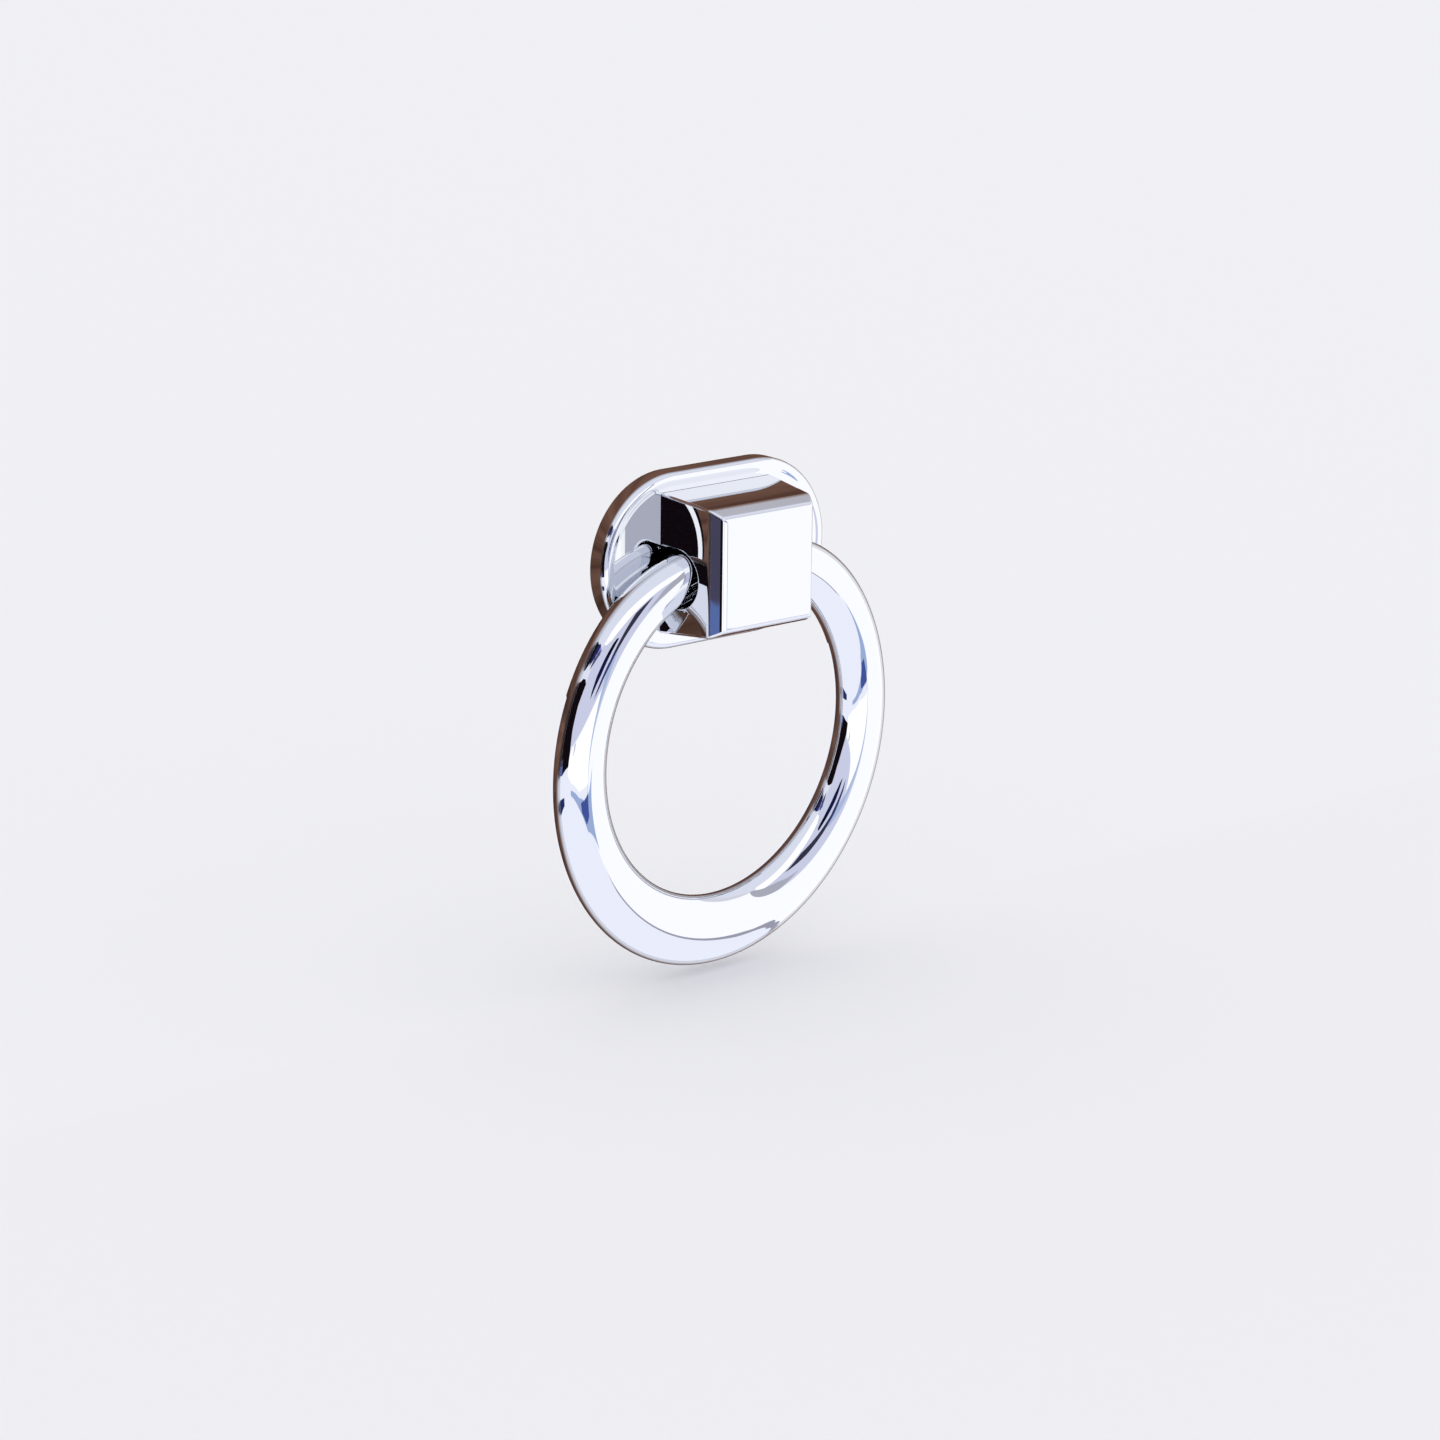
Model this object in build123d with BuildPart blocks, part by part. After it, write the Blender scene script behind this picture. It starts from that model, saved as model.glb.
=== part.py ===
# Ring pull: a square head on an obround back plate, with an oval ring that hangs through two
# notches in the sides of the head.
#
# Frame: X to the right, Y backwards, Z up, in millimetres. The origin is the middle of the flat
# back of the plate, so the whole handle stands in front of it, at negative Y.
import os
from math import cos, pi, radians, sin, sqrt

from build123d import *

# Back plate
PLATE_WIDTH = 40.4
PLATE_HEIGHT = 25.2
PLATE_THICKNESS = 3.3
PLATE_EDGE_ROUND = 1.0
PLATE_RIM_WIDTH = 1.5
PLATE_DISH_DEPTH = 1.05
PLATE_DISH_ROUND = 0.25
PLATE_BACK_CHAMFER = 0.3

# Head, a drafted square block with a bevelled front, cored out from behind
HEAD_BACK_SIDE = 19.8
HEAD_DRAFT_INSET = 0.8
HEAD_BEVEL_WIDTH = 1.05
HEAD_DEPTH = 12.0
HEAD_BEVEL_DEPTH = 2.1
HEAD_EDGE_ROUND = 0.35
HEAD_SIDE_WALL = 1.3
HEAD_FRONT_WALL = 2.4
HEAD_CORE_CORNER = 1.2
HEAD_FOOT_INSET = 0.8
HEAD_GAP_TO_PLATE = 0.35
NOTCH_EDGE_ROUND = 0.3

# Ring, drawn by an outer and an inner oval that are not concentric, so it is thicker at the
# bottom; the outer one is flattened at its top
RING_WIDTH = 60.0
RING_HEIGHT = 63.2
RING_TOP_THICKNESS = 5.75
RING_SIDE_THICKNESS = 8.4
RING_BOTTOM_THICKNESS = 10.45
RING_AXIAL_THICKNESS = 5.6
RING_TOP_FLATTENING = 2.6
RING_FLATTENING_POWER = 6
RING_TOP_Z = 3.05
RING_LEAN_DEG = 3.5
RING_TO_PLATE_GAP = 0.15
RING_DROP_TO_RIM = 6.5
RING_SECTION_COUNT = 17
RING_OVERRUN_DEG = 25.0

# Clearances round the ring
NOTCH_CLEARANCE = 0.25
NOTCH_FRONT_CLEARANCE = 0.4
SWING_CLEARANCE = 0.3
POCKET_LEAST_DEPTH = 0.3

# Fixing thread for the screw that comes from behind, an M4
FIXING_TAP_RADIUS = 1.65
FIXING_CLEARANCE_RADIUS = 2.25
FIXING_Z = 6.5
FIXING_THREAD_DEPTH = 7.0

# Two countersunk M2.5 screws hold the plate to the head
SCREW_RADIUS = 1.25
SCREW_HOLE_RADIUS = 1.28
SCREW_PLATE_RADIUS = 1.45
SCREW_HEAD_RADIUS = 2.35
SCREW_HEAD_SINK = 0.1
SCREW_LENGTH = 8.0
SCREW_X = 5.6
SCREW_Z = 6.5
SCREW_TIP_ROOM = 0.6
SCREW_POINT_CHAMFER = 0.35
RECESS_WIDTH = 0.7
RECESS_LENGTH = 2.4
RECESS_DEPTH = 0.9

# Two cast pegs under the ring keep the head square on the plate
PEG_RADIUS = 0.9
PEG_LENGTH = 1.6
PEG_CLEARANCE = 0.08
PEG_X = 6.4
PEG_END_CHAMFER = 0.25


def flattening(rise):
    """How far the outer oval is lowered where it rises to this part of its full half height."""
    return RING_TOP_FLATTENING * max(rise, 0) ** RING_FLATTENING_POWER


def opening_top_at(x):
    """Height of the top of the ring's opening at a distance x beside the ring's middle."""
    return OPENING_Z + OPENING_HALF_HEIGHT * sqrt(1 - (x / OPENING_HALF_WIDTH) ** 2)


def ring_top_at(x):
    """Height of the ring's upper side at a distance x beside the ring's middle."""
    rise = sqrt(1 - (x / RING_HALF_WIDTH) ** 2)
    return RING_OUTER_Z + RING_HALF_HEIGHT * rise - flattening(rise)


def facing_out(y):
    """Plane at a distance y in front of the origin, looking forwards, with Z up."""
    return Plane(origin=(0, -y, 0), x_dir=(1, 0, 0), z_dir=(0, -1, 0))


def facing_in(y):
    """The same plane seen from behind, for work done on the back."""
    return Plane(origin=(0, -y, 0), x_dir=(-1, 0, 0), z_dir=(0, 1, 0))


# Derived places
PLATE_FIELD_Y = PLATE_THICKNESS - PLATE_DISH_DEPTH
HEAD_BACK_Y = PLATE_FIELD_Y + HEAD_GAP_TO_PLATE
HEAD_SHOULDER_Y = HEAD_BACK_Y + HEAD_DEPTH - HEAD_BEVEL_DEPTH
HEAD_FRONT_Y = HEAD_BACK_Y + HEAD_DEPTH
HEAD_SHOULDER_SIDE = HEAD_BACK_SIDE - 2 * HEAD_DRAFT_INSET
HEAD_FRONT_SIDE = HEAD_SHOULDER_SIDE - 2 * HEAD_BEVEL_WIDTH
CORE_WIDTH = HEAD_BACK_SIDE - 2 * HEAD_SIDE_WALL

RING_LEAN = radians(RING_LEAN_DEG)
RING_SEMI_AXIAL = RING_AXIAL_THICKNESS / 2
RING_HALF_WIDTH = RING_WIDTH / 2
RING_HALF_HEIGHT = (RING_HEIGHT + RING_TOP_FLATTENING) / 2
RING_OUTER_Z = RING_TOP_Z + RING_TOP_FLATTENING - RING_HALF_HEIGHT
OPENING_HALF_WIDTH = RING_HALF_WIDTH - RING_SIDE_THICKNESS
OPENING_HALF_HEIGHT = (RING_HEIGHT - RING_TOP_THICKNESS - RING_BOTTOM_THICKNESS) / 2
OPENING_Z = RING_TOP_Z - RING_TOP_THICKNESS - OPENING_HALF_HEIGHT

# The ring turns about the middle of its section where it leaves the head, and leans back from
# there until it all but touches the rim of the plate
HEAD_HALF = HEAD_BACK_SIDE / 2
HINGE_Z = (ring_top_at(HEAD_HALF) + opening_top_at(HEAD_HALF)) / 2
HINGE_Y = PLATE_THICKNESS + RING_TO_PLATE_GAP + RING_SEMI_AXIAL + RING_DROP_TO_RIM * sin(RING_LEAN)

# Inside the side walls the ring has already begun to rise, so the notches are taller than it is.
# They are as deep as it needs when it points forwards
NOTCH_RADIUS = ring_top_at(CORE_WIDTH / 2) - HINGE_Z + NOTCH_CLEARANCE
WALL_MIDDLE_X = HEAD_HALF - HEAD_SIDE_WALL / 2
NOTCH_FRONT_Y = HINGE_Y + HINGE_Z - opening_top_at(WALL_MIDDLE_X) + NOTCH_FRONT_CLEARANCE
RING_SWEEP = RING_TOP_Z - HINGE_Z + SWING_CLEARANCE
CORE_TOP_Z = HINGE_Z + RING_SWEEP
CORE_BOTTOM_Z = HINGE_Z - RING_SWEEP
CORE_FRONT_Y = HEAD_FRONT_Y - HEAD_FRONT_WALL
POCKET_FLOOR_Y = min(HINGE_Y - RING_SWEEP, PLATE_FIELD_Y - POCKET_LEAST_DEPTH)
POCKET_HALF_HEIGHT = sqrt(max(RING_SWEEP**2 - (HINGE_Y - PLATE_FIELD_Y) ** 2, 0)) + SWING_CLEARANCE
POCKET_CORNER = min(HEAD_CORE_CORNER, POCKET_HALF_HEIGHT / 2)
POCKET_WIDTH = HEAD_BACK_SIDE - 0.2
PEG_Z = (CORE_BOTTOM_Z - HEAD_HALF + HEAD_FOOT_INSET) / 2


# Back plate: obround, rounded at the front, with a shallow dished field and a hidden pocket
# that lets the top of the ring swing back
with BuildPart() as back_plate:
    with BuildSketch(facing_out(0)):
        SlotOverall(PLATE_WIDTH, PLATE_HEIGHT)
    extrude(amount=PLATE_THICKNESS)
    front_edges = back_plate.faces().sort_by(Axis.Y)[0].edges()
    fillet(front_edges, PLATE_EDGE_ROUND)
    back_edges = back_plate.faces().sort_by(Axis.Y)[-1].edges()
    chamfer(back_edges, PLATE_BACK_CHAMFER)
    with BuildSketch(facing_out(PLATE_THICKNESS)):
        SlotOverall(PLATE_WIDTH - 2 * PLATE_RIM_WIDTH, PLATE_HEIGHT - 2 * PLATE_RIM_WIDTH)
    extrude(amount=-PLATE_DISH_DEPTH, mode=Mode.SUBTRACT)
    dish_mouth = back_plate.faces().sort_by(Axis.Y)[0].inner_wires()[0].edges()
    fillet(dish_mouth, PLATE_DISH_ROUND)
    with BuildSketch(facing_out(PLATE_FIELD_Y)):
        with Locations((0, HINGE_Z)):
            RectangleRounded(POCKET_WIDTH, 2 * POCKET_HALF_HEIGHT, POCKET_CORNER)
    extrude(amount=POCKET_FLOOR_Y - PLATE_FIELD_Y, mode=Mode.SUBTRACT)
    with Locations(facing_in(0)):
        with Locations((0, FIXING_Z)):
            Hole(FIXING_CLEARANCE_RADIUS)
        with Locations((-SCREW_X, SCREW_Z), (SCREW_X, SCREW_Z)):
            CounterSinkHole(SCREW_PLATE_RADIUS, SCREW_HEAD_RADIUS + SCREW_HEAD_SINK, counter_sink_angle=90)
    with Locations(facing_out(PLATE_FIELD_Y)):
        with Locations((-PEG_X, PEG_Z), (PEG_X, PEG_Z)):
            Hole(PEG_RADIUS + PEG_CLEARANCE, PEG_LENGTH + PEG_CLEARANCE)

# Head: drafted square block, bevelled at the front, cored from behind, notched at both sides
with BuildPart() as head:
    with BuildSketch(facing_out(HEAD_BACK_Y)):
        Rectangle(HEAD_BACK_SIDE, HEAD_BACK_SIDE)
    with BuildSketch(facing_out(HEAD_SHOULDER_Y)):
        Rectangle(HEAD_SHOULDER_SIDE, HEAD_SHOULDER_SIDE)
    with BuildSketch(facing_out(HEAD_FRONT_Y)):
        Rectangle(HEAD_FRONT_SIDE, HEAD_FRONT_SIDE)
    loft(ruled=True)
    outer_edges = head.edges() - head.faces().sort_by(Axis.Y)[-1].edges()
    fillet(outer_edges, HEAD_EDGE_ROUND)
    with BuildSketch(facing_out(PLATE_FIELD_Y)):
        foot_side = HEAD_BACK_SIDE - 2 * HEAD_FOOT_INSET
        Rectangle(foot_side, foot_side)
    extrude(amount=HEAD_GAP_TO_PLATE)
    with BuildSketch(facing_out(PLATE_FIELD_Y)):
        with Locations((0, (CORE_TOP_Z + CORE_BOTTOM_Z) / 2)):
            RectangleRounded(CORE_WIDTH, CORE_TOP_Z - CORE_BOTTOM_Z, HEAD_CORE_CORNER)
    extrude(amount=CORE_FRONT_Y - PLATE_FIELD_Y, mode=Mode.SUBTRACT)
    with BuildSketch(Plane.YZ):
        with Locations((-(NOTCH_FRONT_Y - NOTCH_RADIUS), HINGE_Z)):
            Circle(NOTCH_RADIUS)
        with Locations((-(NOTCH_FRONT_Y - NOTCH_RADIUS) / 2, HINGE_Z)):
            Rectangle(NOTCH_FRONT_Y - NOTCH_RADIUS, 2 * NOTCH_RADIUS)
    extrude(amount=HEAD_BACK_SIDE, both=True, mode=Mode.SUBTRACT)
    mouth_x = (CORE_WIDTH + HEAD_SHOULDER_SIDE) / 4
    notch_mouths = head.edges(Select.LAST).filter_by(lambda edge: abs(edge.center().X) > mouth_x)
    fillet(notch_mouths.filter_by(Axis.Z, reverse=True), NOTCH_EDGE_ROUND)
    with Locations(facing_in(PLATE_FIELD_Y)):
        with Locations((0, FIXING_Z)):
            Hole(FIXING_TAP_RADIUS, FIXING_THREAD_DEPTH)
        with Locations((-SCREW_X, SCREW_Z), (SCREW_X, SCREW_Z)):
            Hole(SCREW_HOLE_RADIUS, SCREW_LENGTH - PLATE_FIELD_Y + SCREW_TIP_ROOM)
    with BuildSketch(facing_in(PLATE_FIELD_Y)):
        with Locations((-PEG_X, PEG_Z), (PEG_X, PEG_Z)):
            Circle(PEG_RADIUS)
    extrude(amount=PEG_LENGTH)
    peg_ends = head.faces().filter_by(Plane.XZ).sort_by(Axis.Y)[-2:].edges()
    chamfer(peg_ends, PEG_END_CHAMFER)

# Ring: oval sections, each spanning from the inner to the outer oval, made upright and then
# leant back about the hinge
with BuildPart() as upright_ring:
    overrun = radians(RING_OVERRUN_DEG)
    for index in range(RING_SECTION_COUNT):
        turn = -overrun + (pi + 2 * overrun) * index / (RING_SECTION_COUNT - 1)
        outer_z = RING_OUTER_Z + RING_HALF_HEIGHT * cos(turn) - flattening(cos(turn))
        outer_point = Vector(RING_HALF_WIDTH * sin(turn), -HINGE_Y, outer_z)
        inner_z = OPENING_Z + OPENING_HALF_HEIGHT * cos(turn)
        inner_point = Vector(OPENING_HALF_WIDTH * sin(turn), -HINGE_Y, inner_z)
        outwards = (outer_point - inner_point).normalized()
        middle = (outer_point + inner_point) / 2
        half_span = (outer_point - inner_point).length / 2
        with BuildSketch(Plane(middle, x_dir=outwards, z_dir=Vector(0, 1, 0).cross(outwards))):
            with BuildLine():
                for quarter in range(4):
                    EllipticalCenterArc(
                        (0, 0), half_span, RING_SEMI_AXIAL, start_angle=90 * quarter, arc_size=90
                    )
            make_face()
    loft()
    split(bisect_by=Plane.YZ, keep=Keep.TOP)
    mirror(about=Plane.YZ)
ring = upright_ring.part.rotate(Axis((0, -HINGE_Y, HINGE_Z), (1, 0, 0)), RING_LEAN_DEG)

# Plate screws: countersunk, with a cross recess, sunk just below the back of the plate
with BuildPart() as plate_screws:
    for screw_x in (-SCREW_X, SCREW_X):
        screw_plane = Plane(origin=(screw_x, -SCREW_HEAD_SINK, SCREW_Z), x_dir=(0, -1, 0), z_dir=(1, 0, 0))
        with BuildSketch(screw_plane):
            with BuildLine():
                Polyline(
                    (0, 0),
                    (0, SCREW_HEAD_RADIUS),
                    (SCREW_HEAD_RADIUS - SCREW_RADIUS, SCREW_RADIUS),
                    (SCREW_LENGTH - SCREW_POINT_CHAMFER, SCREW_RADIUS),
                    (SCREW_LENGTH, SCREW_RADIUS - SCREW_POINT_CHAMFER),
                    (SCREW_LENGTH, 0),
                    close=True,
                )
            make_face()
        revolve(axis=Axis((screw_x, 0, SCREW_Z), (0, -1, 0)))
    with BuildSketch(facing_in(SCREW_HEAD_SINK)):
        with Locations((-SCREW_X, SCREW_Z), (SCREW_X, SCREW_Z)):
            Rectangle(RECESS_LENGTH, RECESS_WIDTH)
            Rectangle(RECESS_WIDTH, RECESS_LENGTH)
    extrude(amount=-RECESS_DEPTH, mode=Mode.SUBTRACT)

back_plate.part.label = "back_plate"
head.part.label = "head"
ring.label = "ring"
plate_screws.part.label = "plate_screws"

os.makedirs("parts", exist_ok=True)
for piece in (back_plate.part, head.part, ring, plate_screws.part):
    export_step(piece, f"parts/{piece.label}.step")
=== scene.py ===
"""Polished chrome ring pull on an obround back plate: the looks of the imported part.

Lengths are metres. X is to the right, Y backwards, Z up, and the origin is the middle of the
plate's back, as in the part itself. A name that ends in _Y is a distance forwards from there.
"""

import bpy
import bmesh
import numpy as np
from mathutils import Matrix, Vector


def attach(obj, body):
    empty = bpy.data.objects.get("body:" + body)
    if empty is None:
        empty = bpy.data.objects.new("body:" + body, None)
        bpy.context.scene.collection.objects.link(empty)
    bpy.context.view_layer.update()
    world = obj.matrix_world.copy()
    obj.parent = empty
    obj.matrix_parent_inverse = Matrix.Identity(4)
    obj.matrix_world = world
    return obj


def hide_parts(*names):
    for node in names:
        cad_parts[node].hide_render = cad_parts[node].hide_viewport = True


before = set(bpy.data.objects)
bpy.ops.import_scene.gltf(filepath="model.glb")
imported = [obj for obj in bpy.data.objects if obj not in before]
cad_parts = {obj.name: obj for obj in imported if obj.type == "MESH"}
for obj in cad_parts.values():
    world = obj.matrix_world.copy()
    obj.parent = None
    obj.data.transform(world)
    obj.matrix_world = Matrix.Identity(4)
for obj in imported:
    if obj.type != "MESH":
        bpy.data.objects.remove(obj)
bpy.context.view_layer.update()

MM = 0.001

# The plate: a rounded edge, and a face that falls by a very shallow dish to the field at the head
PLATE_THICKNESS = 3.3 * MM
PLATE_WIDTH = 40.4 * MM
PLATE_HEIGHT = 25.2 * MM
PLATE_EDGE_ROUND = 1.0 * MM
PLATE_BACK_CHAMFER = 0.3 * MM
PLATE_FALL_WIDTH = 1.0 * MM
PLATE_DISH_DEPTH = 0.1 * MM
FIELD_Y = PLATE_THICKNESS - PLATE_DISH_DEPTH

# The head: a foot set in behind the back edge, drafted sides, a bevel from the shoulder to the front
HEAD_BACK_SIDE = 20.0 * MM
HEAD_SHOULDER_SIDE = 18.2 * MM
HEAD_FRONT_SIDE = 16.1 * MM
HEAD_GAP = 0.1 * MM
HEAD_BACK_Y = FIELD_Y + HEAD_GAP
HEAD_SHOULDER_Y = 12.5 * MM
HEAD_FRONT_Y = 14.6 * MM
HEAD_FOOT_INSET = 0.8 * MM
HEAD_SIDE_WALL = 1.3 * MM
HEAD_FRONT_WALL = 2.4 * MM
HEAD_CORE_CORNER = 1.2 * MM
HEAD_EDGE_ROUND = 0.35 * MM
HEAD_FRONT_ROUND = 0.65 * MM
NOTCH_EDGE_ROUND = 0.3 * MM

# The ring: its outer oval, its opening, half its size from front to back, and its lean
RING_HALF_WIDTH = 30.0 * MM
RING_HALF_HEIGHT = 32.9 * MM
RING_OUTER_Z = -27.25 * MM
RING_TOP_FLATTENING = 2.6 * MM
RING_FLATTENING_POWER = 6
OPENING_HALF_WIDTH = 21.6 * MM
OPENING_HALF_HEIGHT = 23.5 * MM
OPENING_Z = -26.2 * MM
RING_SEMI_AXIAL = 2.8 * MM
RING_LEAN_DEG = 3.5

# Where the ring turns in the head, the notches it leaves by, and half the height it sweeps inside
HINGE_Y = 6.6468 * MM
HINGE_Z = -1.6732 * MM
NOTCH_RADIUS = 4.1822 * MM
NOTCH_FRONT_Y = 10.338 * MM
RING_SWEEP = 5.023 * MM

# What holds it together: the fixing hole, two screws, two pegs, and the ring's pocket in the plate
FIXING_TAP_RADIUS = 1.65 * MM
FIXING_CLEARANCE_RADIUS = 2.25 * MM
FIXING_Z = 6.5 * MM
FIXING_DEPTH = 7.0 * MM
SCREW_X = 5.6 * MM
SCREW_Z = 6.5 * MM
SCREW_SINK_RADIUS = 2.45 * MM
SCREW_PLATE_RADIUS = 1.45 * MM
SCREW_HOLE_RADIUS = 1.28 * MM
SCREW_HOLE_END = 8.6 * MM
PEG_X = 6.4 * MM
PEG_Z = -7.9 * MM
PEG_RADIUS = 0.9 * MM
PEG_LENGTH = 1.6 * MM
PEG_ROOT = 0.5 * MM
PEG_CLEARANCE = 0.08 * MM
POCKET_HALF_WIDTH = 9.8 * MM
POCKET_HALF_HEIGHT = 2.73 * MM
POCKET_FLOOR_Y = 1.624 * MM
CUT_PAST = 1.0 * MM

# The floor's top, half its side, and its thickness
FLOOR_Z = -61.0 * MM
FLOOR_HALF = 3.0
FLOOR_THICKNESS = 0.01

# How finely the surfaces are divided, and the angle from which an edge stays sharp
RING_TURNS = 480
RING_AROUND = 128
END_POINTS = 72
EDGE_POINTS = 14
FALL_POINTS = 24
HOLE_POINTS = 64
TURNED_POINTS = 48
NOTCH_POINTS = 49
CORNER_POINTS = 9
BEVEL_SEGMENTS = 6
SHARP_ANGLE = float(np.radians(32))
TINY = 1e-6
SQUARE = np.array([(-1, -1), (1, -1), (1, 1), (-1, 1)])

# The photograph's camera: where it stands, and where the origin falls in the 1440 px picture
PICTURE_PX = 1440
CAMERA_AZIMUTH = -40.19
CAMERA_ELEVATION = 15.48
CAMERA_ROLL = 0.63
CAMERA_FOCAL_PX = 4700
CAMERA_PX_PER_METRE = 7119
ORIGIN_PX = (701.34, 549.16)
SENSOR_MM = 36.0

# Distance of the first studio card, the step from one to the next in front of it, and their fineness
CARD_DISTANCE = 2.9
CARD_SPACING = 0.04
CARD_CELL_DEG = 6
CARD_PASSES = 4

# The warm card: how far it stands in front of the plate's back, how far it reaches, and over what
# angle to each side of the top it is whole behind the ring
WARM_CARD_Y = 0.2 * MM
WARM_CARD_REACH = 1.2
WARM_TOP_TURN = np.radians(70)


def linear(hex_colour):
    """sRGB hex string to a linear RGBA tuple."""
    s = np.array([int(hex_colour[i:i + 2], 16) for i in (1, 3, 5)]) / 255
    rgb = np.where(s <= 0.04045, s / 12.92, ((s + 0.055) / 1.055) ** 2.4)
    return (*map(float, rgb), 1.0)


def node(tree, kind, links=(), **settings):
    """Adds one node. Keys name sockets, or attributes of the node; links are (socket, source) pairs."""
    n = tree.nodes.new(kind)
    for key, value in settings.items():
        if hasattr(n, key):
            setattr(n, key, value)
        else:
            n.inputs[key.replace("_", " ")].default_value = value
    for socket, source in links:
        tree.links.new(source, n.inputs[socket])
    return n


def new_material(name):
    """A node material with nothing in it yet, and its node tree."""
    m = bpy.data.materials.new(name)
    m.use_nodes = True
    m.node_tree.nodes.clear()
    return m, m.node_tree


def new_object(name, vertices, faces, smooth=True):
    """A mesh object at the origin from an (n, 3) array and a list or array of faces."""
    mesh = bpy.data.meshes.new(name)
    mesh.from_pydata(np.asarray(vertices).tolist(), [], [tuple(map(int, f)) for f in faces])
    mesh.validate()
    mesh.polygons.foreach_set("use_smooth", [smooth] * len(mesh.polygons))
    obj = bpy.data.objects.new(name, mesh)
    bpy.context.scene.collection.objects.link(obj)
    return obj


def grid_faces(rows, columns, close_rows=True, close_columns=True):
    """Quads of a rows by columns grid of points, numbered row by row."""
    i = np.arange(rows if close_rows else rows - 1)
    j = np.arange(columns if close_columns else columns - 1)
    i, j = np.meshgrid(i, j, indexing="ij")
    i2, j2 = (i + 1) % rows, (j + 1) % columns
    quads = np.stack([i * columns + j, i * columns + j2, i2 * columns + j2, i2 * columns + j], -1)
    return quads.reshape(-1, 4)


def recalculate(obj):
    """Turns every face outwards."""
    bm = bmesh.new()
    bm.from_mesh(obj.data)
    bmesh.ops.recalc_face_normals(bm, faces=bm.faces)
    bm.to_mesh(obj.data)
    bm.free()


def closed_tube(name, points, smooth=False):
    """A solid from rows of points, each a closed loop: quads between rows, and a face over each end."""
    rows, columns = points.shape[:2]
    first_end = range(columns)
    last_end = range((rows - 1) * columns, rows * columns)[::-1]
    faces = [*grid_faces(rows, columns, close_rows=False), first_end, last_end]
    obj = new_object(name, points.reshape(-1, 3), faces, smooth)
    recalculate(obj)
    return obj


def prism(name, outline, axis, low, high):
    """A prism: a closed outline of points in a plane, carried along an axis from low to high."""
    ends = [np.insert(np.asarray(outline, dtype=float), axis, value, axis=1) for value in (low, high)]
    return closed_tube(name, np.stack(ends))


def turned(name, profile, x, z):
    """A solid of revolution about the line along Y through (x, z): profile is (y, radius) points."""
    y, radius = np.asarray(profile).T[:, :, None]
    a = np.linspace(0, 2 * np.pi, TURNED_POINTS, endpoint=False)[None, :]
    return closed_tube(name, np.stack([x + radius * np.cos(a), y + 0 * a, z + radius * np.sin(a)], -1))


def circle(radius, centre):
    """Outline of a circle: centre + radius (cos a, sin a)."""
    a = np.linspace(0, 2 * np.pi, HOLE_POINTS, endpoint=False)
    return np.stack([centre[0] + radius * np.cos(a), centre[1] + radius * np.sin(a)], -1)


def rounded_rectangle(half_width, half_height, radius, centre):
    """Outline of a rectangle whose corners are quarter circles."""
    turn = np.linspace(0, np.pi / 2, CORNER_POINTS)[None, :] + np.arange(4)[:, None] * np.pi / 2
    side_x = np.array([1, -1, -1, 1])[:, None]
    side_z = np.array([1, 1, -1, -1])[:, None]
    x = centre[0] + side_x * (half_width - radius) + radius * np.cos(turn)
    z = centre[1] + side_z * (half_height - radius) + radius * np.sin(turn)
    return np.stack([x, z], -1).reshape(-1, 2)


def obround(insets, half_width, half_height):
    """Outlines of a slot shape, one for each inset: two half circles joined by straight sides."""
    radius = half_height - np.asarray(insets)[:, None]
    reach = half_width - half_height
    a = np.linspace(-np.pi / 2, np.pi / 2, END_POINTS)[None, :]
    right = np.stack([reach + radius * np.cos(a), radius * np.sin(a)], -1)
    return np.concatenate([right, -right], axis=1)


def cut(obj, *cutters, how="DIFFERENCE"):
    """Takes each cutter out of obj, or joins it to obj, exactly, and removes the cutter."""
    for cutter in cutters:
        modifier = obj.modifiers.new("cut", "BOOLEAN")
        modifier.operation = how
        modifier.solver = "EXACT"
        modifier.object = cutter
        evaluated = obj.evaluated_get(bpy.context.evaluated_depsgraph_get())
        mesh = bpy.data.meshes.new_from_object(evaluated)
        obj.modifiers.clear()
        old = obj.data
        obj.data = mesh
        bpy.data.meshes.remove(old)
        bpy.data.objects.remove(cutter)


def ring_object():
    """Closed ring whose section changes all the way round, leaning back about its hinge.

    At an angle t from the top the outer oval passes (A sin t, B cos t + zo - F cos(t)^6), the
    last term only in its upper half, and the inner one (a sin t, b cos t + zi). The section there
    is an ellipse that spans from the one point to the other, with a constant half thickness h
    across: middle + half (outer - inner) cos v, and y = h sin v.
    """
    t = np.linspace(0, 2 * np.pi, RING_TURNS, endpoint=False)[:, None]
    v = np.linspace(0, 2 * np.pi, RING_AROUND, endpoint=False)[None, :]
    flattening = RING_TOP_FLATTENING * np.maximum(np.cos(t), 0) ** RING_FLATTENING_POWER
    outer_x = RING_HALF_WIDTH * np.sin(t)
    outer_z = RING_OUTER_Z + RING_HALF_HEIGHT * np.cos(t) - flattening
    inner_x = OPENING_HALF_WIDTH * np.sin(t)
    inner_z = OPENING_Z + OPENING_HALF_HEIGHT * np.cos(t)
    x = (outer_x + inner_x) / 2 + (outer_x - inner_x) / 2 * np.cos(v)
    z = (outer_z + inner_z) / 2 + (outer_z - inner_z) / 2 * np.cos(v) - HINGE_Z
    y = RING_SEMI_AXIAL * np.sin(v) + 0 * t
    lean = np.radians(RING_LEAN_DEG)
    leant_y = y * np.cos(lean) - z * np.sin(lean) - HINGE_Y
    leant_z = y * np.sin(lean) + z * np.cos(lean) + HINGE_Z
    points = np.stack([x, leant_y, leant_z], -1).reshape(-1, 3)
    return new_object("pull_ring", points, grid_faces(RING_TURNS, RING_AROUND)[:, ::-1])


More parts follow.
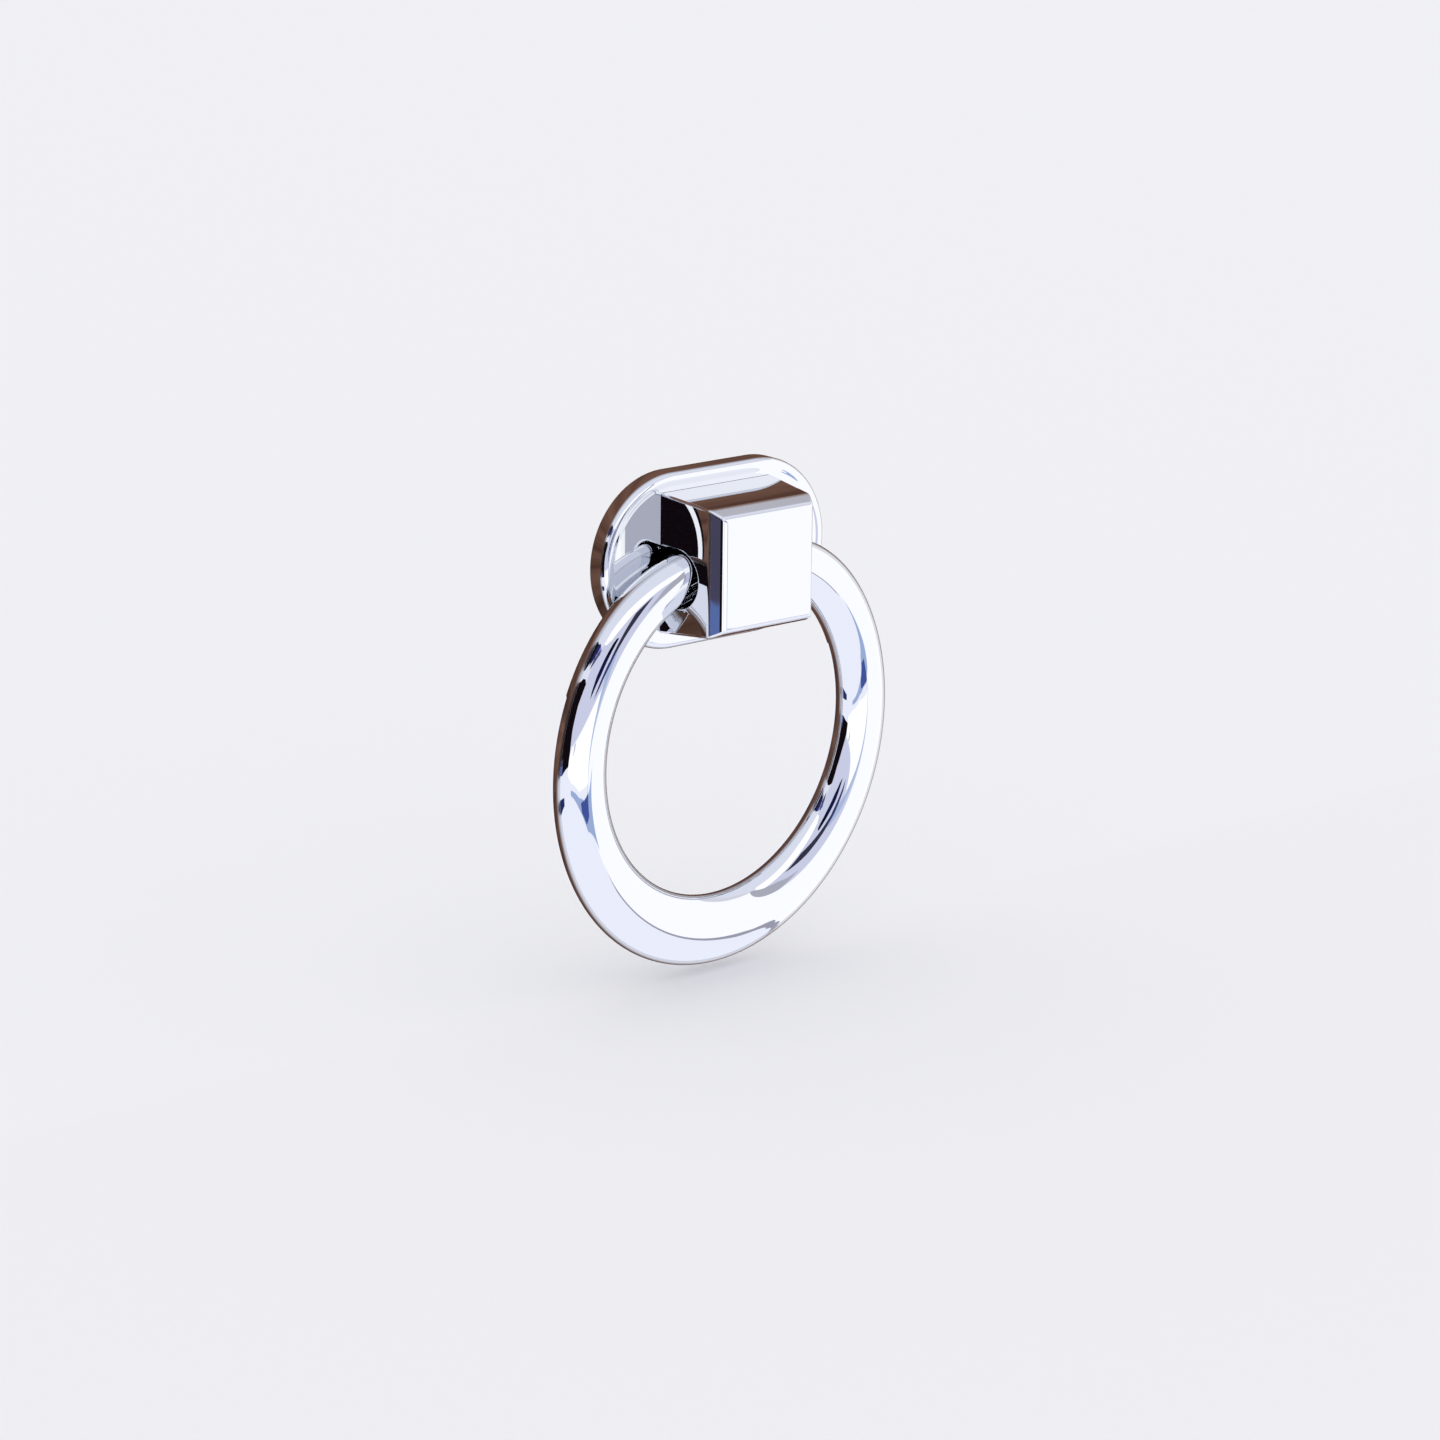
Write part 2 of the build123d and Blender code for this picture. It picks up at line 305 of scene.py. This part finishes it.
def plate_object():
    """The plate: a profile of (inset, height) points carried round the slot outline.

    The height runs from the flat back, over the chamfer, up the wall and round the front edge by
    a quarter circle to its crest. From there the buffed face falls by half a cosine wave,
    field + depth / 2 (1 + cos(pi u)), to the level field under the head.
    """
    a = np.linspace(0, np.pi / 2, EDGE_POINTS)
    edge_inset = PLATE_EDGE_ROUND * (1 - np.cos(a))
    edge_height = PLATE_THICKNESS - PLATE_EDGE_ROUND * (1 - np.sin(a))
    u = np.linspace(0, 1, FALL_POINTS + 1)[1:]
    fall_inset = PLATE_EDGE_ROUND + PLATE_FALL_WIDTH * u
    fall_height = FIELD_Y + PLATE_DISH_DEPTH * (1 + np.cos(np.pi * u)) / 2
    insets = np.concatenate([[PLATE_BACK_CHAMFER, 0], edge_inset, fall_inset])
    heights = np.concatenate([[0, PLATE_BACK_CHAMFER], edge_height, fall_height])
    outlines = obround(insets, PLATE_WIDTH / 2, PLATE_HEIGHT / 2)
    x, z = outlines[..., 0], outlines[..., 1]
    return closed_tube("plate", np.stack([x, 0 * x - heights[:, None], z], -1), smooth=True)


def cut_plate(obj):
    """The ring's pocket from the front, the fixing hole, the screws' sinks and the pegs' sockets."""
    pocket_outline = rounded_rectangle(
        POCKET_HALF_WIDTH, POCKET_HALF_HEIGHT, HEAD_CORE_CORNER, (0, HINGE_Z)
    )
    pocket = prism("pocket", pocket_outline, 1, -PLATE_THICKNESS, -POCKET_FLOOR_Y)
    fixing_outline = circle(FIXING_CLEARANCE_RADIUS, (0, FIXING_Z))
    fixing = prism("fixing", fixing_outline, 1, -PLATE_THICKNESS, PLATE_THICKNESS)
    cut(obj, pocket, fixing)
    sink_depth = SCREW_SINK_RADIUS - SCREW_PLATE_RADIUS
    sink = [
        (CUT_PAST, SCREW_SINK_RADIUS),
        (0, SCREW_SINK_RADIUS),
        (-sink_depth, SCREW_PLATE_RADIUS),
        (-PLATE_THICKNESS, SCREW_PLATE_RADIUS),
    ]
    socket_radius = PEG_RADIUS + PEG_CLEARANCE
    socket_end = FIELD_Y - PEG_LENGTH - PEG_CLEARANCE
    socket = [(-PLATE_THICKNESS, socket_radius), (-socket_end, socket_radius)]
    for side in (-1, 1):
        cut(obj, turned("screw_sink", sink, side * SCREW_X, SCREW_Z))
        cut(obj, turned("peg_socket", socket, side * PEG_X, PEG_Z))


def head_object():
    """The head: a drafted square block with a bevelled front, on a foot set in from its back edge."""
    foot = HEAD_BACK_SIDE / 2 - HEAD_FOOT_INSET
    squares = [
        (foot, FIELD_Y),
        (foot, HEAD_BACK_Y),
        (HEAD_BACK_SIDE / 2, HEAD_BACK_Y),
        (HEAD_SHOULDER_SIDE / 2, HEAD_SHOULDER_Y),
        (HEAD_FRONT_SIDE / 2, HEAD_FRONT_Y),
    ]
    half, depth = np.array(squares).T[:, :, None]
    x, z = half * SQUARE[:, 0], half * SQUARE[:, 1]
    return closed_tube("block", np.stack([x, 0 * x - depth, z], -1))


def notch_outline():
    """The U of a side notch, as (y, z) points: straight lips joined by a half circle at the front."""
    centre_y = NOTCH_FRONT_Y - NOTCH_RADIUS
    a = np.linspace(np.pi / 2, 3 * np.pi / 2, NOTCH_POINTS)
    arc = np.stack([-centre_y + NOTCH_RADIUS * np.cos(a), HINGE_Z + NOTCH_RADIUS * np.sin(a)], -1)
    lips = [(0, HINGE_Z - NOTCH_RADIUS), (0, HINGE_Z + NOTCH_RADIUS)]
    return np.concatenate([arc, lips])


def cut_head(obj):
    """Notches through both sides, the core and the tapped hole from behind, screw holes and pegs."""
    notch = prism("notch", notch_outline(), 0, -HEAD_BACK_SIDE, HEAD_BACK_SIDE)
    core_half_width = HEAD_BACK_SIDE / 2 - HEAD_SIDE_WALL
    core_outline = rounded_rectangle(core_half_width, RING_SWEEP, HEAD_CORE_CORNER, (0, HINGE_Z))
    core = prism("core", core_outline, 1, -(HEAD_FRONT_Y - HEAD_FRONT_WALL), 0)
    tapped_outline = circle(FIXING_TAP_RADIUS, (0, FIXING_Z))
    tapped = prism("tapped", tapped_outline, 1, -(FIELD_Y + FIXING_DEPTH), 0)
    cut(obj, notch, core, tapped)
    bore = [(0, SCREW_HOLE_RADIUS), (-SCREW_HOLE_END, SCREW_HOLE_RADIUS)]
    peg = [(-FIELD_Y - PEG_ROOT, PEG_RADIUS), (-FIELD_Y + PEG_LENGTH, PEG_RADIUS)]
    for side in (-1, 1):
        cut(obj, turned("screw_bore", bore, side * SCREW_X, SCREW_Z))
        cut(obj, turned("peg", peg, side * PEG_X, PEG_Z), how="UNION")


def weight_edges(obj, front, outer, mouth):
    """Marks the front's edges, the other outer edges and the notch mouths, each with its share."""
    mesh = obj.data
    weights = mesh.attributes.new("bevel_weight_edge", "FLOAT", "EDGE")
    co = np.empty(3 * len(mesh.vertices))
    mesh.vertices.foreach_get("co", co)
    x, y, z = co.reshape(-1, 3).T
    depth = -y
    share = np.clip((depth - HEAD_BACK_Y) / (HEAD_SHOULDER_Y - HEAD_BACK_Y), 0, 1)
    half = HEAD_BACK_SIDE / 2 + (HEAD_SHOULDER_SIDE - HEAD_BACK_SIDE) / 2 * share
    behind_shoulder = depth < HEAD_SHOULDER_Y + TINY
    on_side = (abs(abs(x) - half) < TINY) & behind_shoulder
    on_top = (abs(abs(z) - half) < TINY) & behind_shoulder
    from_shoulder = depth > HEAD_SHOULDER_Y - TINY
    on_bevel = from_shoulder & (np.maximum(abs(x), abs(z)) > HEAD_FRONT_SIDE / 2 - TINY)
    corner = (on_side & on_top) | on_bevel
    back = abs(depth - HEAD_BACK_Y) < TINY
    foremost = depth > HEAD_FRONT_Y - TINY
    lip = on_side & ~on_top & (abs(z - HINGE_Z) < NOTCH_RADIUS + TINY)
    ends = np.empty(2 * len(mesh.edges), dtype=np.int32)
    mesh.edges.foreach_get("vertices", ends)
    a, b = ends.reshape(-1, 2).T
    off_back = ~(back[a] & back[b])
    value = np.where(corner[a] & corner[b] & off_back, outer, 0)
    value = np.where(foremost[a] & foremost[b], front, value)
    value = np.where(lip[a] & lip[b] & off_back, mouth, value)
    weights.data.foreach_set("value", value.astype(np.float32))


def finish_edges(obj, width=0):
    """Rounds the marked edges, then keeps flats flat by weighting the normals by area."""
    if width:
        bevel = obj.modifiers.new("rounded_edges", "BEVEL")
        bevel.limit_method = "WEIGHT"
        bevel.width = width
        bevel.segments = BEVEL_SEGMENTS
        bevel.miter_outer = "MITER_ARC"
    mesh = obj.data
    mesh.polygons.foreach_set("use_smooth", [True] * len(mesh.polygons))
    bm = bmesh.new()
    bm.from_mesh(mesh)
    for e in bm.edges:
        e.smooth = len(e.link_faces) == 2 and e.calc_face_angle() < SHARP_ANGLE
    bm.to_mesh(mesh)
    bm.free()
    normals = obj.modifiers.new("flat_faces", "WEIGHTED_NORMAL")
    normals.keep_sharp = True
    normals.weight = 100


def chrome():
    """Polished chrome plate on die-cast zinc: a bright, slightly blue mirror.

    The casting was buffed before plating, so the mirror is clear, and only a faint haze in spots
    of about a millimetre shows where it was wiped.
    """
    m, t = new_material("polished_chrome")
    place = node(t, "ShaderNodeTexCoord")
    haze = node(t, "ShaderNodeTexNoise", [("Vector", place.outputs["Object"])], Scale=900.0, Detail=3.0)
    rough = node(
        t, "ShaderNodeMapRange", [("Value", haze.outputs["Fac"])],
        From_Min=0.3, From_Max=0.8, To_Min=0.008, To_Max=0.03,
    )
    shader = node(
        t, "ShaderNodeBsdfPrincipled", [("Roughness", rough.outputs["Result"])],
        Base_Color=linear("#E6E8EC"), Metallic=1.0,
    )
    node(t, "ShaderNodeOutputMaterial", [("Surface", shader.outputs["BSDF"])])
    return m


def zinc_plate():
    """Zinc plated steel screws: a dull bluish grey with a soft glint."""
    m, t = new_material("zinc_plated_steel")
    shader = node(
        t, "ShaderNodeBsdfPrincipled", Base_Color=linear("#B9BDC2"), Metallic=1.0, Roughness=0.32
    )
    node(t, "ShaderNodeOutputMaterial", [("Surface", shader.outputs["BSDF"])])
    return m


def matt(name, colour):
    """Matt paint: an even surface without gloss."""
    m, t = new_material(name)
    shader = node(t, "ShaderNodeBsdfPrincipled", Base_Color=linear(colour), Roughness=0.9)
    node(t, "ShaderNodeOutputMaterial", [("Surface", shader.outputs["BSDF"])])
    return m


def glowing(name, colour, strength):
    """An even emitting surface, for a card that only the metal mirrors and that lights nothing."""
    m, t = new_material(name)
    glow = node(t, "ShaderNodeEmission", Color=linear(colour), Strength=strength)
    node(t, "ShaderNodeOutputMaterial", [("Surface", glow.outputs["Emission"])])
    m.cycles.emission_sampling = "NONE"
    return m


def studio_world():
    """An even backdrop for the camera, plain white light, and a pale blue-grey tent for mirrors.

    The backdrop has the tone of the lit floor, so that the two meet without a line. The tent is a
    little bluer than the light, and grades from a brighter foot to a greyer top.
    """
    world = bpy.data.worlds.new("studio")
    bpy.context.scene.world = world
    world.use_nodes = True
    t = world.node_tree
    t.nodes.clear()
    path = node(t, "ShaderNodeLightPath")
    light = node(t, "ShaderNodeBackground", Color=linear("#F6F6F8"), Strength=1.0)
    backdrop = node(t, "ShaderNodeBackground", Color=linear("#F0F0F4"), Strength=1.0)
    place = node(t, "ShaderNodeTexCoord")
    height = node(t, "ShaderNodeSeparateXYZ", [("Vector", place.outputs["Generated"])])
    share = node(t, "ShaderNodeMapRange", [("Value", height.outputs["Z"])], From_Min=-0.45, From_Max=0.7)
    tent = node(
        t, "ShaderNodeMix", [("Factor", share.outputs["Result"])],
        data_type="RGBA", A=linear("#EEF0FB"), B=linear("#DCDFEC"),
    )
    around = node(t, "ShaderNodeBackground", [("Color", tent.outputs["Result"])], Strength=1.2)
    seen = node(t, "ShaderNodeMixShader", [
        ("Fac", path.outputs["Is Camera Ray"]),
        (1, light.outputs["Background"]),
        (2, backdrop.outputs["Background"]),
    ])
    mirrored = node(t, "ShaderNodeMixShader", [
        ("Fac", path.outputs["Is Glossy Ray"]),
        (1, seen.outputs["Shader"]),
        (2, around.outputs["Background"]),
    ])
    node(t, "ShaderNodeOutputWorld", [("Surface", mirrored.outputs["Shader"])])


def only_mirrored(card):
    """Keeps a stage piece out of the picture and of the light, so that only mirrors show it."""
    card.visible_camera = False
    card.visible_diffuse = False
    card.visible_shadow = False
    card.visible_transmission = False


def direction(azimuth, elevation):
    """Unit vectors: azimuth in degrees from straight in front, positive to the right."""
    a, e = np.radians(azimuth), np.radians(elevation)
    return np.stack([np.sin(a) * np.cos(e), -np.cos(a) * np.cos(e), np.sin(e)], -1)


def curved_card(name, corners, distance):
    """A polygon of (azimuth, elevation) corners, cut small and laid on a sphere round the object."""
    bm = bmesh.new()
    bm.faces.new([bm.verts.new((azimuth, elevation, 0)) for azimuth, elevation in corners])
    bmesh.ops.triangulate(bm, faces=bm.faces)
    for _ in range(CARD_PASSES):
        long_edges = [e for e in bm.edges if e.calc_length() > CARD_CELL_DEG]
        if long_edges:
            bmesh.ops.subdivide_edges(bm, edges=long_edges, cuts=1)
    bmesh.ops.triangulate(bm, faces=bm.faces)
    card = new_object(name, [(0, 0, 0)], [])
    bm.to_mesh(card.data)
    bm.free()
    flat = np.empty(3 * len(card.data.vertices))
    card.data.vertices.foreach_get("co", flat)
    azimuth, elevation, _ = flat.reshape(-1, 3).T
    card.data.vertices.foreach_set("co", (direction(azimuth, elevation) * distance).ravel())
    return card


def studio_cards():
    """What stands round the object in the studio, as the polished metal mirrors it.

    Each card is a polygon far away, given by its name, colour, strength and the directions of its
    corners, in degrees. Later cards stand in front of earlier ones. Only mirrored rays see them.
    """
    cards = [
        ("grey_ceiling_edge", "#D9DAE2", 1.15,
         [(24, 34), (40, 42), (90, 49), (90, 35), (60, 36), (30, 31)]),
        ("white_wall_right", "#FBFBFF", 1.25,
         [(27, 31), (60, 36), (112, 36), (112, -36), (90, -42), (70, -40), (50, -33), (38, -26),
          (27, -22)]),
        ("lavender_gap", "#D0D3E8", 1.15,
         [(-50, 20), (-38, 26), (-20, 19), (22, 19), (26, 5), (27, -22), (15, -12), (-40, -11),
          (-58, -9), (-50, 8)]),
        ("grey_seam_right", "#B9BAC6", 1.0,
         [(22, 30), (27, 33), (27, -4), (22, -4), (19, 10)]),
        ("blue_seam_right", "#BACAEC", 1.0,
         [(7, -7), (12, -5), (27, -21), (27, -24), (14, -12)]),
        ("white_softbox_top", "#FFFFFF", 1.3,
         [(-39, 27), (-35, 33), (-20, 38), (22, 36), (24, 30), (21, 19), (-18, 18), (-30, 22)]),
        ("white_strip_low", "#FFFFFF", 1.3,
         [(-47, -14), (-40, -12), (12, -12), (20, -17), (27, -23), (0, -25), (-30, -23), (-47, -20)]),
        ("blue_line_low", "#A9BDE6", 1.0,
         [(-30, -25), (0, -26), (20, -25), (38, -22), (38, -24), (20, -28), (0, -28), (-30, -26.5)]),
        ("navy_line_left", "#27346B", 1.0,
         [(-106, -26), (-90, -27), (-62, -27), (-62, -30), (-90, -33), (-106, -32)]),
        ("grey_line_floor", "#A9A9B8", 1.0,
         [(37, -25), (50, -33), (70, -40), (90, -42), (112, -36), (112, -37.5), (90, -43.5),
          (70, -41.5), (49, -34.5), (36, -27)]),
        ("black_studio_left", "#140D12", 1.0,
         [(-98, -17), (-98, 20), (-72, 20), (-58, 17), (-47, 12), (-53, 5), (-52, -4), (-46, -12),
          (-47, -17), (-60, -17), (-80, -18)]),
        ("black_arc_left", "#17161F", 1.0,
         [(-98, 40), (-82, 39), (-70, 36), (-70, 27), (-84, 25), (-98, 25)]),
        ("navy_arc_left", "#2B2F66", 1.0,
         [(-70, 36), (-62, 35), (-52, 31), (-52, 27), (-62, 25), (-70, 25)]),
        ("blue_arc_left", "#8D93D0", 1.0,
         [(-52, 31), (-44, 27), (-36, 20), (-44, 23), (-52, 26)]),
        ("slate_arc_left", "#565B80", 1.0,
         [(-57, 26), (-46, 26), (-38, 24), (-38, 21.5), (-46, 20.5), (-57, 20.5)]),
        ("navy_wedge_low", "#4A5AA4", 1.0,
         [(6, -26.5), (19, -24.8), (28, -23.5), (28, -25), (19, -27.5), (8, -27.8)]),
        ("dark_opening_a", "#151A4A", 1.0,
         [(-15, -2), (-12, -5), (-4, -2), (-2, 4), (-1, 7), (-5, 10), (-9, 11), (-13, 8), (-16, 3)]),
        ("black_opening_a", "#0B0A0E", 1.0,
         [(-10, 5), (-4, 5), (-4, 9), (-7, 11), (-10, 9)]),
        ("dark_opening_b", "#3A384E", 1.0,
         [(4, -3), (3, 15), (13, 15), (13, 2), (11, -4)]),
        ("navy_opening_b", "#3C4276", 1.0,
         [(-1, -9), (3, -3), (11, -3), (10, -7), (5, -9)]),
        ("slate_edge_left", "#4B485E", 1.0,
         [(-97, -11.5), (-80, -11.5), (-80, -17), (-97, -17)]),
        ("blue_edge_left", "#5F74B0", 1.0,
         [(-97, -14.1), (-80, -14.1), (-80, -17.5), (-97, -17.5)]),
        ("grey_field_left", "#CCCCD8", 1.0,
         [(-31.5, -12.2), (-26.9, -12.2), (-26.9, -13.9), (-30, -15.6), (-31.5, -15.4)]),
    ]
    for layer, (name, colour, strength, corners) in enumerate(cards):
        distance = CARD_DISTANCE - CARD_SPACING * layer
        card = curved_card("card_" + name, corners, distance)
        card.data.materials.append(glowing(name, colour, strength))
        only_mirrored(card)


def warm_card_object():
    """A sheet close to the plane of the plate's back, in three zones, each a grid of ovals.

    One zone fills the ring's opening: its points are share (a sin t, b cos t), share from 0 to 1.
    One starts at the ring's outside and grows outwards from it. Between them the sheet has a gap
    the shape of the ring, which the third zone closes behind the plate.
    """
    turn = np.linspace(0, 2 * np.pi, 96, endpoint=False)[:, None]
    top_turn = np.linspace(-WARM_TOP_TURN, WARM_TOP_TURN, 41)[:, None]
    inward = np.array([0.0, 0.5, 1.0])
    outward = np.array([1.0, 1.6, 4.0, WARM_CARD_REACH / RING_HALF_WIDTH])
    across = np.array([0.0, 1.0])
    across_half_width = OPENING_HALF_WIDTH + (RING_HALF_WIDTH - OPENING_HALF_WIDTH) * across
    across_half_height = OPENING_HALF_HEIGHT + (RING_HALF_HEIGHT - OPENING_HALF_HEIGHT) * across
    across_z = OPENING_Z + (RING_OUTER_Z - OPENING_Z) * across
    zones = [
        (turn, OPENING_HALF_WIDTH * inward, OPENING_HALF_HEIGHT * inward, OPENING_Z, True),
        (turn, RING_HALF_WIDTH * outward, RING_HALF_HEIGHT * outward, RING_OUTER_Z, True),
        (top_turn, across_half_width, across_half_height, across_z, False),
    ]
    vertices = np.empty((0, 3))
    faces = []
    for t, half_width, half_height, centre_z, closed in zones:
        x = half_width * np.sin(t)
        z = centre_z + half_height * np.cos(t)
        quads = grid_faces(*x.shape, close_rows=closed, close_columns=False)
        faces.extend(quads[:, ::-1] + len(vertices))
        points = np.stack([x, 0 * x - WARM_CARD_Y, z], -1).reshape(-1, 3)
        vertices = np.concatenate([vertices, points])
    return new_object("card_warm", vertices, faces, smooth=False)


def warm_brown():
    """A streaked brown sheet with a satin coat, clear from behind, that gives the chrome warm edges.

    The streaks run across, about 2 mm high and 70 mm long. The sheet is darker along the middle
    oval of the ring, where it would be shaded, and at grazing angles its coat mirrors what is
    around.
    """
    m, t = new_material("warm_card")
    place = node(t, "ShaderNodeTexCoord")
    along = node(t, "ShaderNodeMapping", [("Vector", place.outputs["Object"])], Scale=(14, 1, 420))
    streaks = node(t, "ShaderNodeTexNoise", [("Vector", along.outputs["Vector"])], Scale=1.0, Detail=4.0)
    tone = node(t, "ShaderNodeMapRange", [("Value", streaks.outputs["Fac"])], From_Min=0.35, From_Max=0.65)
    brown = node(
        t, "ShaderNodeMix", [("Factor", tone.outputs["Result"])],
        data_type="RGBA", A=linear("#5A3F35"), B=linear("#8A6656"),
    )
    middle_half_width = (RING_HALF_WIDTH + OPENING_HALF_WIDTH) / 2
    middle_half_height = (RING_HALF_HEIGHT + OPENING_HALF_HEIGHT) / 2
    middle_z = (RING_OUTER_Z + OPENING_Z) / 2
    centred = node(
        t, "ShaderNodeMapping", [("Vector", place.outputs["Object"])],
        Location=(0, 0, -middle_z / middle_half_height),
        Scale=(1 / middle_half_width, 0, 1 / middle_half_height),
    )
    far = node(t, "ShaderNodeVectorMath", [(0, centred.outputs["Vector"])], operation="LENGTH")
    off = node(t, "ShaderNodeMath", [(0, far.outputs["Value"])], operation="SUBTRACT")
    off.inputs[1].default_value = 1.0
    away = node(t, "ShaderNodeMath", [(0, off.outputs["Value"])], operation="ABSOLUTE")
    shade = node(
        t, "ShaderNodeMapRange", [("Value", away.outputs["Value"])],
        From_Min=0.1, From_Max=0.6, To_Min=0.5,
    )
    glow = node(t, "ShaderNodeEmission", [
        ("Color", brown.outputs["Result"]),
        ("Strength", shade.outputs["Result"]),
    ])
    satin = node(t, "ShaderNodeBsdfGlossy", Roughness=0.2)
    grazing = node(t, "ShaderNodeLayerWeight", Blend=0.5)
    sheen = node(
        t, "ShaderNodeMapRange", [("Value", grazing.outputs["Facing"])],
        From_Min=0.42, From_Max=0.82, To_Max=0.95,
    )
    front = node(t, "ShaderNodeMixShader", [
        ("Fac", sheen.outputs["Result"]),
        (1, glow.outputs["Emission"]),
        (2, satin.outputs["BSDF"]),
    ])
    clear = node(t, "ShaderNodeBsdfTransparent")
    side = node(t, "ShaderNodeNewGeometry")
    surface = node(t, "ShaderNodeMixShader", [
        ("Fac", side.outputs["Backfacing"]),
        (1, front.outputs["Shader"]),
        (2, clear.outputs["BSDF"]),
    ])
    node(t, "ShaderNodeOutputMaterial", [("Surface", surface.outputs["Shader"])])
    m.cycles.emission_sampling = "NONE"
    return m


def set_camera():
    """The photograph's view: its angles and its scale, with the origin on its own pixel.

    The camera looks along its own -Z. It stands at the distance that gives the origin its scale,
    and is moved across and up until the origin falls on its pixel.
    """
    a, e, roll = np.radians([CAMERA_AZIMUTH, CAMERA_ELEVATION, CAMERA_ROLL])
    right = np.array([np.cos(a), np.sin(a), 0])
    back = np.array([np.sin(a) * np.cos(e), -np.cos(a) * np.cos(e), np.sin(e)])
    up = np.cross(back, right)
    right, up = right * np.cos(roll) + up * np.sin(roll), -right * np.sin(roll) + up * np.cos(roll)
    distance = CAMERA_FOCAL_PX / CAMERA_PX_PER_METRE
    across = (ORIGIN_PX[0] - PICTURE_PX / 2) / CAMERA_PX_PER_METRE
    above = -(ORIGIN_PX[1] - PICTURE_PX / 2) / CAMERA_PX_PER_METRE
    data = bpy.data.cameras.new("camera")
    data.sensor_width = SENSOR_MM
    data.lens = CAMERA_FOCAL_PX / PICTURE_PX * SENSOR_MM
    data.clip_start, data.clip_end = 0.01, 100
    camera = bpy.data.objects.new("camera", data)
    bpy.context.scene.collection.objects.link(camera)
    matrix = Matrix(np.stack([right, up, back], axis=1).tolist()).to_4x4()
    matrix.translation = Vector(back * distance - right * across - up * above)
    camera.matrix_world = matrix
    bpy.context.scene.camera = camera


polished = chrome()

ring = ring_object()
ring.data.materials.append(polished)
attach(ring, "ring")
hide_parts("ring")

plate = plate_object()
cut_plate(plate)
plate.name = "obround_plate"
plate.data.materials.append(polished)
finish_edges(plate)
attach(plate, "base")
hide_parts("back_plate")

head = head_object()
cut_head(head)
head.name = "square_head"
head.data.materials.append(polished)
weight_edges(head, 1.0, HEAD_EDGE_ROUND / HEAD_FRONT_ROUND, NOTCH_EDGE_ROUND / HEAD_FRONT_ROUND)
finish_edges(head, HEAD_FRONT_ROUND)
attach(head, "base")
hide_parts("head")

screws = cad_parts["plate_screws"]
screws.data.materials.clear()
screws.data.materials.append(zinc_plate())

floor = prism("floor", FLOOR_HALF * SQUARE, 2, FLOOR_Z - FLOOR_THICKNESS, FLOOR_Z)
floor.data.materials.append(matt("pale_floor", "#F8F8FA"))
floor.visible_glossy = False

warm_card = warm_card_object()
warm_card.data.materials.append(warm_brown())
only_mirrored(warm_card)
studio_cards()
studio_world()

bpy.context.scene.view_settings.view_transform = "Standard"
set_camera()
